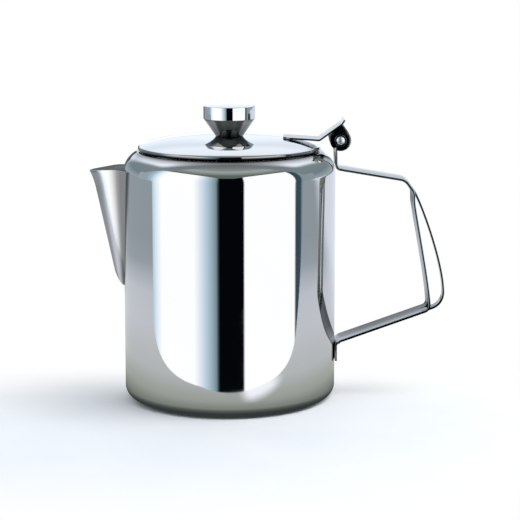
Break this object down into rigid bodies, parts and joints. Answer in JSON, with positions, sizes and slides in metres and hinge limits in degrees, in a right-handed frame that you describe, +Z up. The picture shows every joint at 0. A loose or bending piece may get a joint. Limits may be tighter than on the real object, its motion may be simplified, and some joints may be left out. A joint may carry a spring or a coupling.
{
  "type": "teapot",
  "caption": "Mirror-polished sheet-steel catering teapot with a hinged domed lid, hollow knob, folded half-cone spout and slit strip handle.",
  "frame": {"origin": "centre of the base, on the surface that the pot stands on", "axes": "+Z up along the body's axis, +X towards the handle and hinge, -X towards the spout, +Y across the handle strip"},
  "size_m": [0.1982, 0.118, 0.1636],
  "materials": {
    "mirror_steel": "mirror polished stainless steel",
    "satin_steel": "satin stainless steel, lightly brushed along the spout",
    "handle_steel": "bright polished strip, darker on its sheared edges",
    "bracket_steel": "tumbled bright pressed steel",
    "pin_steel": "polished rivet",
    "fastener_steel": "plain turned steel"
  },
  "bodies": {
    "pot": {"pot_body": "mirror_steel", "spout": "satin_steel", "handle_strip": "handle_steel"},
    "lid": {"lid_cover": "mirror_steel", "hinge_bracket": "bracket_steel", "hinge_pin": "pin_steel", "pin_washers": "bracket_steel", "knob_shell": "mirror_steel", "knob_cap": "mirror_steel", "knob_screw": "fastener_steel", "knob_washer": "fastener_steel", "knob_nut": "fastener_steel"}
  },
  "joints": [
    {"name": "lid_hinge", "type": "hinge", "parent": "pot", "child": "lid", "pos_m": [0.0614, 0, 0.14455], "axis": [0, 1, 0], "range_deg": [0, 108]}
  ]
}
